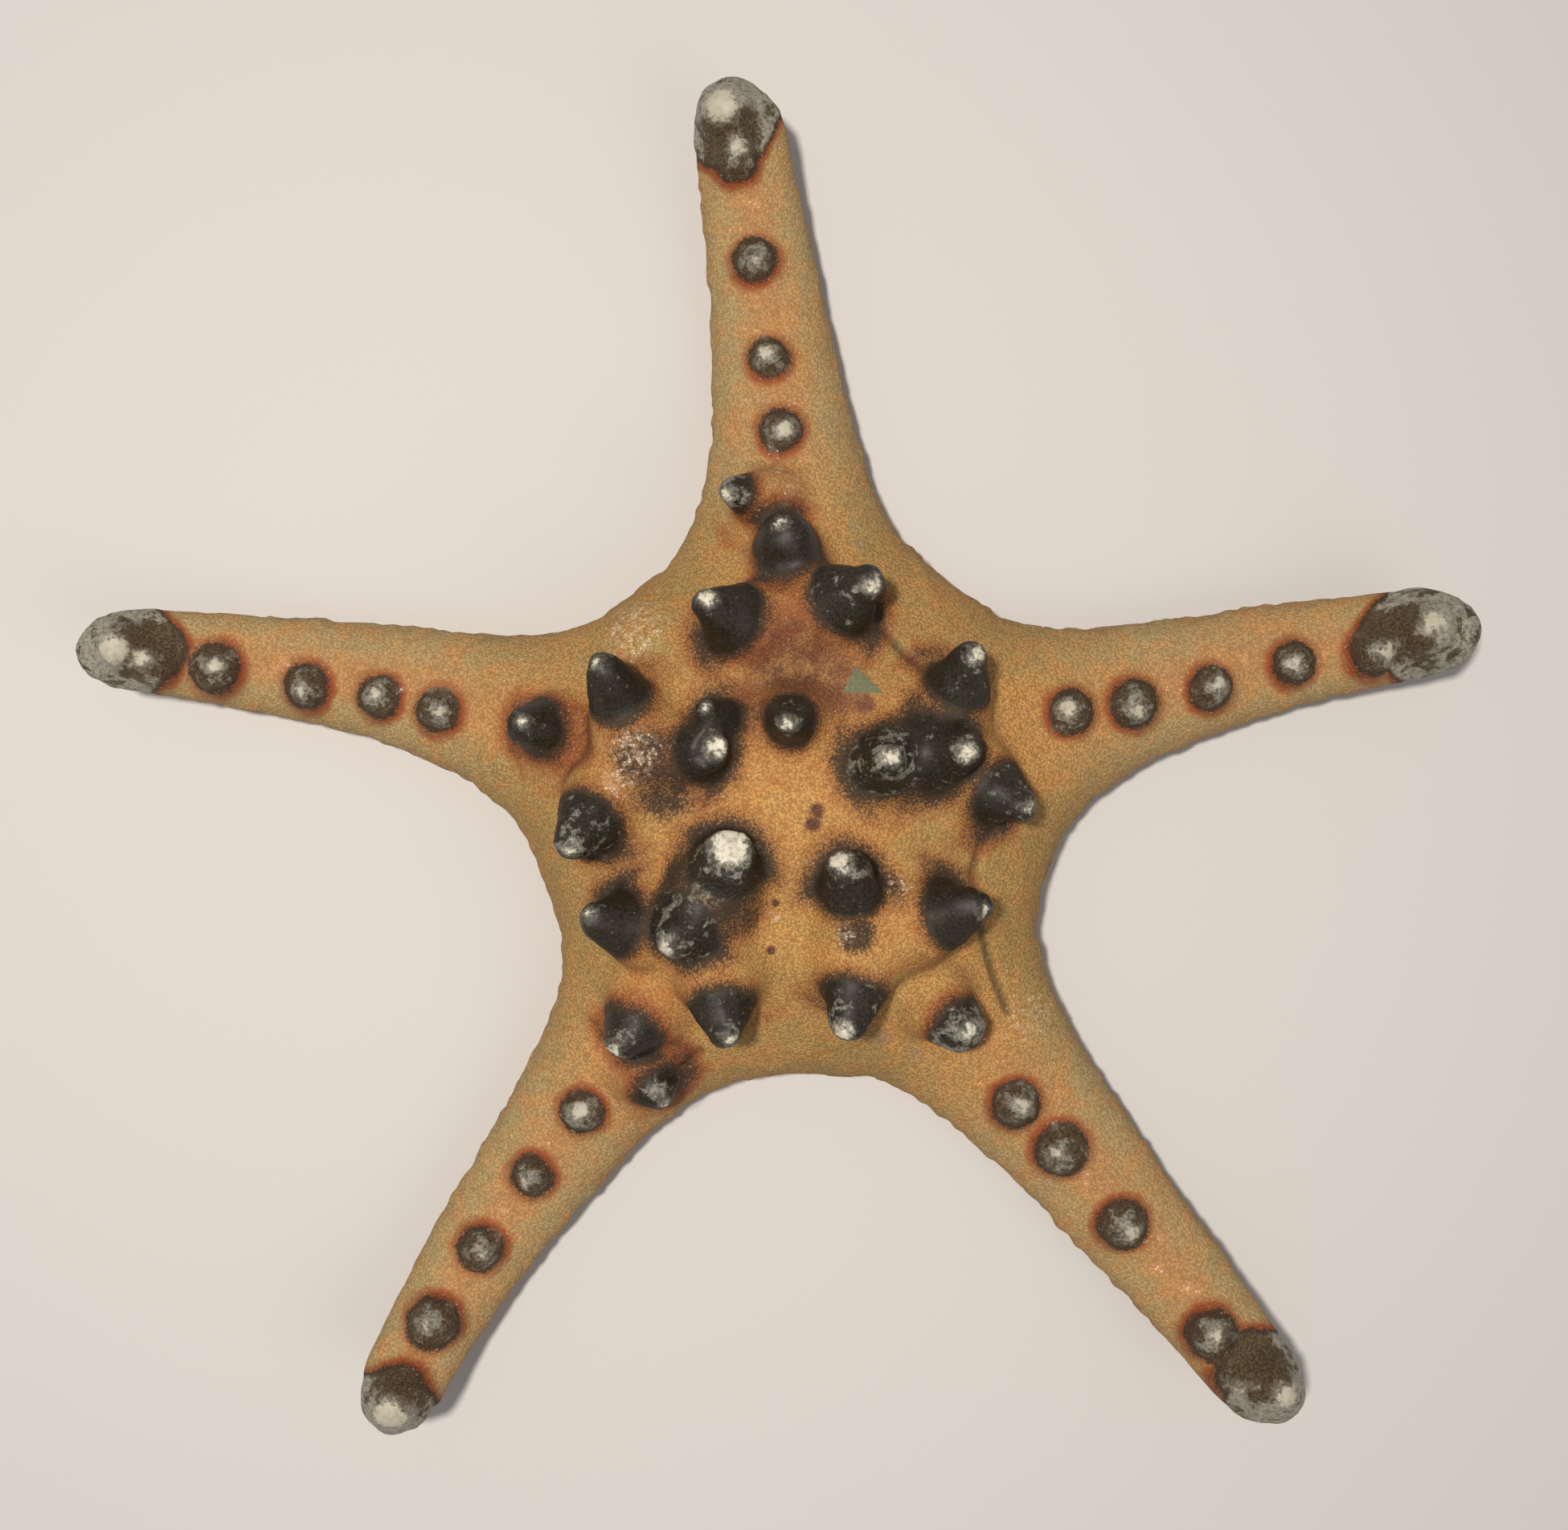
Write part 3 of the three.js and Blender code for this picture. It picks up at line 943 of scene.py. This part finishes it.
def colour(red, green, blue):
    """A colour from its 0 to 255 values as they look on screen."""
    linear = [
        c / 12.92 if c <= 0.04045 else ((c + 0.055) / 1.055) ** 2.4
        for c in (red / 255, green / 255, blue / 255)
    ]
    return (*linear, 1.0)


def spot(s, seen_from_above, x, y, radius, strength):
    """A round soft-edged spot on the skin: 0 outside it and its strength inside."""
    distance = s.vector("DISTANCE", seen_from_above, (x, y, 0))
    return s.product(s.ramp(distance, 1.5 * radius, 0.5 * radius), strength)


def patches(s, place, spots):
    """The strongest of many spots at each point."""
    seen_from_above = s.vector("MULTIPLY", place, (1, 1, 0))
    return s.most(*(spot(s, seen_from_above, *numbers) for numbers in spots))


# Patches of the skin, each a few spots: x, y, radius and strength.
# Reddish brown, behind the top horn, on the left of the dome and in small blots.
STAINS = (
    (2, 15.5, 8, 1.1), (9, 11.5, 5, 1), (-2, 9, 6, 0.9),
    (13.3, 8.6, 1.8, 1), (5.8, -8.4, 1.2, 1.7), (5.2, -10.3, 1.2, 1.7),
    (-0.6, -22.8, 0.6, 2), (-1.3, -30.4, 0.7, 1.7), (-17, -3, 7, 0.8),
    (14, -45, 3, 0.2),
)
# Sprinkled with pale dust, most on the left of the dome.
DUSTY = (
    (-23.6, 20.8, 4.5, 0.9), (10, -27.2, 1.6, 1), (-22.5, 0.5, 3.5, 1),
    (-25, -3.5, 2.5, 0.7), (18.6, -20.5, 2, 0.8), (-0.6, -25, 1, 1),
    (-10.5, -21, 2, 0.8), (42, -43, 4, 0.5),
)
# Peppered black, between horns that stand close together.
DARK = (
    (-10, -21, 5, 1.3), (-13, -24, 5, 1.1), (-21, 0, 5.2, 0.72),
    (-18, -5, 5, 0.72), (1, 14, 5, 0.25), (20, 0.5, 5, 0.9),
    (12, -27.5, 3, 0.8), (-11, -1, 4, 0.6),
)
# Greener, most on the disc's flanks.
KHAKI_PATCHES = (
    (20, 20, 9, 0.8), (-14, 13, 6, 0.6), (-38, -5, 7, 0.6),
    (6, -22, 7, 0.5), (26, -14, 8, 0.8), (-30, 16, 7, 0.6),
    (-26, -16, 7, 0.7), (-4, -36, 8, 0.5), (20, -36, 7, 0.5),
    (2, 27, 5, 0.3),
)
# Smeared grey-green, beside the sieve plate and on the roots of two arms.
SMEARS = (
    (13.3, 8.6, 1.7, 0.6), (12.6, 38.4, 1.2, 0.8), (13.4, 35.5, 1.2, 0.8),
    (16.5, -46, 1.6, 0.5), (22, -49, 1.6, 0.5),
)

# Colours of the granular skin.
OCHRE = colour(181, 137, 76)
PALE_OCHRE = colour(164, 130, 84)
PALE_ORANGE = colour(168, 119, 71)
KHAKI = colour(154, 129, 75)
PALE_KHAKI = colour(158, 139, 95)
ORANGE = colour(194, 129, 68)
# the dark between the granules: partly the skin's own colour there, partly painted shade in the
# recesses
GAP_TONE_AND_SHADE = colour(104, 64, 28)
RUST = colour(130, 62, 24)
BROWN_BLACK = colour(44, 34, 24)
DUST = colour(226, 204, 174)
CREASE_OLIVE = colour(80, 74, 42)
SMEAR_GREY = colour(128, 126, 108)
STAIN_BROWN = colour(104, 60, 40)
# the last of these, the dark between the belly's granules, is partly painted shade in the recesses
BELLY, BELLY_SHADE, BELLY_GAP_TONE_AND_SHADE = colour(190, 158, 112), colour(166, 128, 84), colour(120, 88, 52)
PLATE_DARK, PLATE_PALE = colour(92, 93, 70), colour(110, 110, 84)
# Colours of the bare horns and knobs.
CHARCOAL, PALE_CHARCOAL = colour(22, 19, 14), colour(50, 43, 32)
DARK_BROWN, PALE_BROWN = colour(48, 36, 22), colour(92, 76, 52)
SCUFF_DARK, SCUFF_PALE = colour(90, 85, 75), colour(138, 133, 119)
SCUFF_WHITE = colour(172, 166, 148)
SCRATCH_GREY = colour(132, 128, 115)
CREAM, CREAM_ON_KNOBS = colour(206, 198, 178), colour(176, 168, 148)
CREAM_SHADE = colour(160, 154, 138)
FLOOR_GREY = colour(193, 188, 184)


RELIEF_HEIGHT = 0.12  # of the granules and the scratches
SKIN_ROUGHNESS = 0.8
HORN_ROUGHNESS = 0.52
GRANULES_PER_MM = 2.4
GRANULE_WARP = 0.55  # how far the rows of granules are bent out of line


def granule_pattern(s, place):
    """Closely packed domes: their height, and two random numbers for each."""
    warp = s.node("ShaderNodeTexNoise", {"Vector": place, "Scale": 1.3, "Detail": 2.0})
    bend = s.vector("MULTIPLY", warp.outputs["Color"], (GRANULE_WARP,) * 3)
    bent = s.vector("ADD", place, bend)
    cells = s.node("ShaderNodeTexVoronoi", {"Vector": bent, "Scale": GRANULES_PER_MM})
    random = s.node("ShaderNodeSeparateColor", {0: cells.outputs["Color"]})
    dome = s.ramp(cells.outputs["Distance"], 0.75, 0.1)
    return dome, random.outputs[0], random.outputs[1]


def plain_skin(s, place, middling, midline):
    """Ochre, khaki on the flanks and orange along the arms' middles, with creases and smears."""
    across, outwards = s.number("across"), s.ramp(s.number("along"), 0.3, 0.55)
    broad = s.noise(place, 0.055, 2)
    skin = s.mix(outwards, OCHRE, PALE_OCHRE)
    flank = s.product(s.ramp(across, 0.25, 0.65), s.ramp(broad, 0.3, 0.55, 0.25, 1.0), 0.9)
    khaki = s.mix(outwards, KHAKI, PALE_KHAKI)
    skin = s.mix(s.most(flank, patches(s, place, KHAKI_PATCHES)), skin, khaki)
    skin = s.mix(s.product(midline, 0.6), skin, PALE_ORANGE)
    skin = s.mix(s.ramp(middling, 0.4, 0.75, 0.0, 0.55), skin, ORANGE)
    olive = s.ramp(s.number("crease"), CREASE_HALF_WIDTH, 0.1, 0.0, 0.95)
    skin = s.mix(olive, skin, CREASE_OLIVE)
    smeared = s.product(patches(s, place, SMEARS), s.ramp(middling, 0.35, 0.6))
    return s.mix(smeared, skin, SMEAR_GREY)


def granular(s, skin, dome, luck):
    """Each granule a little lighter or darker than the next, with dark gaps between them: partly the
    skin's own darker colour there and partly painted shade in these small recesses.
    """
    skin = s.mix(1.0, skin, s.grey(s.ramp(luck, 0.0, 1.0, 0.88, 1.12)), "MULTIPLY")
    gap = s.product(s.ramp(dome, 0.55, 0.0), s.ramp(s.number("along"), 0.3, 0.6, 0.55, 0.42))
    # the gaps are darkened partly for their own colour and partly as painted shade
    return s.mix(gap, skin, GAP_TONE_AND_SHADE)


def darkened(s, skin, place, reach, middling, dome, luck):
    """Stains, and the rust and the dark pepper that fade in towards the horns and knobs."""
    stain = s.product(patches(s, place, STAINS), s.ramp(middling, 0.25, 0.6, 0.5, 1.0))
    skin = s.mix(s.product(s.math("MINIMUM", stain, 1.2), 0.8), skin, STAIN_BROWN)
    # the dark and rusty rings are narrower round a knob than round a horn
    width = s.ramp(s.number("brown"), 0.0, 1.0, 1.0, 2.4)
    ring = s.ramp(s.number("brown"), 0.0, 1.0, 1.0, 1.6)
    halo = s.product(s.ramp(s.product(reach, ring), -3.6, -1.2), s.number("rust"), 0.95)
    skin = s.mix(halo, skin, RUST)
    dark_skin = s.product(patches(s, place, DARK), s.ramp(middling, 0.2, 0.6, 0.6, 1.0))
    pepper = s.most(s.ramp(s.product(reach, width), -3.0, 1.4), s.product(stain, 0.3), dark_skin)
    # the gaps between the granules darken first
    darker = s.math("ADD", s.product(pepper, 1.3), s.swing(luck, 0.3))
    darker = s.math("SUBTRACT", darker, s.product(dome, 0.4))
    darker = s.product(s.ramp(darker, -0.05, 0.9), s.ramp(pepper, 0.0, 0.12), 0.95)
    return s.mix(darker, skin, BROWN_BLACK)


def dusted(s, skin, place, middling, midline, dome, luck):
    """A thin film of pale dust in places, and single white granules."""
    dusty = s.most(
        s.product(patches(s, place, DUSTY), s.ramp(s.noise(place, 0.9, 4), 0.42, 0.62)),
        s.product(midline, s.ramp(middling, 0.5, 0.75), 0.6),
        0.03,
    )
    skin = s.mix(s.product(dusty, 0.25), skin, DUST)
    white = s.ramp(s.math("SUBTRACT", s.product(dusty, 0.55), luck), -0.06, 0.12)
    return s.mix(s.product(white, s.ramp(dome, 0.1, 0.6), 0.5), skin, DUST)


def skin_colour(s, place, reach, middling, granules):
    """The granular skin. `reach` is how far a point is into a bare part, negative outside."""
    dome, luck, other_luck = granules
    midline = s.product(
        s.ramp(s.number("across"), 0.4, 0.05), s.ramp(s.number("along"), 0.25, 0.5)
    )
    skin = plain_skin(s, place, middling, midline)
    skin = granular(s, skin, dome, luck)
    skin = darkened(s, skin, place, reach, middling, dome, luck)
    return dusted(s, skin, place, middling, midline, dome, other_luck)


def horn_colour(s, place, fine, scratches):
    """Bare charcoal, scuffed grey, and rubbed cream at the tip."""
    rubbed, brown, scuffed = s.number("rubbed"), s.number("brown"), s.number("scuffed")
    mottle = s.ramp(fine, 0.3, 0.75)
    charcoal = s.mix(mottle, CHARCOAL, PALE_CHARCOAL)
    horn = s.mix(brown, charcoal, s.mix(mottle, DARK_BROWN, PALE_BROWN))
    blotches = s.noise(place, 0.42, 5, 0.7, 0.2)
    grey = s.mix(s.ramp(fine, 0.3, 0.7), SCUFF_DARK, SCUFF_PALE)
    # only the arms' ends are scuffed this much
    whitened = s.product(s.ramp(scuffed, 0.5, 0.7), s.ramp(scratches, 0.35, 0.65), 0.6)
    grey = s.mix(whitened, grey, SCUFF_WHITE)
    share = s.math("ADD", blotches, s.swing(scuffed, 0.55))
    share = s.math("ADD", share, s.ramp(rubbed, -5.0, 0.0, 0.0, 0.08))
    horn = s.mix(s.ramp(share, 0.51, 0.62, 0.0, 0.9), horn, grey)
    horn = s.mix(s.ramp(scratches, 0.64, 0.72, 0.0, 0.6), horn, SCRATCH_GREY)
    reach = s.math("ADD", rubbed, s.math("ADD", s.swing(blotches, 4.0), s.swing(scratches, 2.5)))
    cream = s.mix(brown, CREAM, CREAM_ON_KNOBS)
    cream = s.mix(s.ramp(scratches, 0.35, 0.55), CREAM_SHADE, cream)
    horn = s.mix(s.ramp(reach, -1.4, 0.2, 0.0, 0.5), horn, grey)
    return s.mix(s.ramp(reach, -0.1, 0.8, 0.0, 0.9), horn, cream)


def plate_share(s, place):
    """1 on the sieve plate."""
    depth = -FAR_OFF
    for inward, out in plate_edges():
        reach = s.vector("DOT_PRODUCT", place, (*inward, 0))
        depth = s.math("MINIMUM", s.math("SUBTRACT", reach, out), depth)
    return s.ramp(depth, -0.2, 0.1)


def underside_share(s, place):
    """1 on the flat underside and in its grooves, but not under the horns."""
    normal = s.node("ShaderNodeTexCoord").outputs["Normal"]
    up = s.node("ShaderNodeSeparateXYZ", {0: normal}).outputs["Z"]
    height = s.node("ShaderNodeSeparateXYZ", {0: place}).outputs["Z"]
    low = s.ramp(height, HIGHEST_UNDERSIDE + 1, HIGHEST_UNDERSIDE)
    return s.most(s.product(s.ramp(up, -0.1, -0.5), low), s.number("spine"))


def belly_colour(s, middling, dome):
    """The paler, mottled skin below."""
    belly = s.mix(s.ramp(middling, 0.35, 0.7), BELLY, BELLY_SHADE)
    # the gaps between the belly's granules are darkened partly for their own colour and partly as
    # painted shade
    return s.mix(s.ramp(dome, 0.6, 0.0, 0.0, 0.4), belly, BELLY_GAP_TONE_AND_SHADE)


def star_material():
    s = Shader("sea_star_skin")
    place = s.vector("MULTIPLY", s.node("ShaderNodeTexCoord").outputs["Object"], (1 / MM,) * 3)
    granules = granule_pattern(s, place)
    dome = granules[0]
    middling = s.noise(place, 0.3, 4)
    fine = s.noise(place, 2.2, 3)
    # drawn out upwards, so that they run along the horns
    scratches = s.noise(s.vector("MULTIPLY", place, (1, 1, 0.3)), 1.3, 5, 0.65, 0.2)

    ragged = s.math("ADD", s.swing(middling, 2.0), s.swing(fine, 0.8))
    reach = s.math("ADD", s.number("bare"), ragged)
    under = underside_share(s, place)
    above = s.math("SUBTRACT", 1.0, under)
    bare_share = s.product(s.ramp(reach, -0.1, 1.1), above)
    plate = s.product(plate_share(s, place), above)
    surface = skin_colour(s, place, reach, middling, granules)
    surface = s.mix(under, surface, belly_colour(s, middling, dome))
    surface = s.mix(bare_share, surface, horn_colour(s, place, fine, scratches))
    surface = s.mix(plate, surface, s.mix(s.ramp(fine, 0.3, 0.7), PLATE_DARK, PLATE_PALE))

    granule_relief = s.product(dome, s.math("SUBTRACT", 1.0, s.most(bare_share, plate)))
    relief = s.math("ADD", granule_relief, s.product(bare_share, scratches, 0.6))
    bump = s.node(
        "ShaderNodeBump",
        {"Strength": 0.7, "Distance": RELIEF_HEIGHT * MM, "Height": relief},
    )
    shader = s.node(
        "ShaderNodeBsdfPrincipled",
        {
            "Base Color": surface,
            "Roughness": s.ramp(bare_share, 0.0, 1.0, SKIN_ROUGHNESS, HORN_ROUGHNESS),
            "Specular IOR Level": 0.3,
            "Normal": bump.outputs[0],
        },
    )
    s.node("ShaderNodeOutputMaterial", {"Surface": shader.outputs[0]})
    return s.material


def floor_material():
    s = Shader("pale_floor")
    shader = s.node("ShaderNodeBsdfPrincipled", {"Base Color": FLOOR_GREY})
    shader.inputs["Roughness"].default_value = 0.9
    s.node("ShaderNodeOutputMaterial", {"Surface": shader.outputs[0]})
    return s.material


# The scene ----------


FLOOR_SIZE = 8  # these numbers are in metres and watts
CAMERA_HEIGHT = 0.3
CAMERA_LENS = 39.05  # millimetres, for a frame a little wider than the star


def make_floor(low, high):
    middle = (low + high) / 2
    bpy.ops.mesh.primitive_plane_add(size=FLOOR_SIZE, location=(middle.x, middle.y, low.z))
    floor = bpy.context.object
    floor.name = "floor"
    floor.data.materials.append(floor_material())


def add_light(name, place, target, size, power, tint):
    """A round lamp that faces its target."""
    data = bpy.data.lights.new(name, "AREA")
    data.shape = "DISK"
    data.size = size
    data.energy = power
    data.color = tint
    light = bpy.data.objects.new(name, data)
    light.location = place
    light.rotation_euler = (Vector(target) - Vector(place)).to_track_quat("-Z", "Y").to_euler()
    bpy.context.scene.collection.objects.link(light)


def make_lights(low, high):
    """A key light nearly overhead, a wide fill light from the right, and an even sky."""
    middle = (low + high) / 2
    add_light("key", middle + Vector((-0.1, 0.04, 0.56)), middle, 0.05, 3.8, (1, 0.95, 0.88))
    add_light("fill", middle + Vector((0.5, -0.4, 0.7)), middle, 0.6, 1.3, (1, 0.98, 0.95))
    world = bpy.data.worlds.new("studio")
    world.use_nodes = True
    background = world.node_tree.nodes["Background"]
    background.inputs["Color"].default_value = (0.95, 0.96, 1, 1)
    background.inputs["Strength"].default_value = 0.28
    bpy.context.scene.world = world


def make_camera(low, high):
    """Looking straight down from above the star's middle."""
    data = bpy.data.cameras.new("camera")
    data.lens = CAMERA_LENS
    data.clip_start = 0.01
    camera = bpy.data.objects.new("camera", data)
    middle = (low + high) / 2
    camera.location = (middle.x + 0.9 * MM, middle.y - 1.5 * MM, low.z + CAMERA_HEIGHT)
    bpy.context.scene.collection.objects.link(camera)
    bpy.context.scene.camera = camera


star = make_star()
star.data.materials.append(star_material())
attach(star, "root")
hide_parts("starfish")

make_floor(*cad_box)
make_lights(*cad_box)
make_camera(*cad_box)
bpy.context.scene.view_settings.view_transform = "Standard"
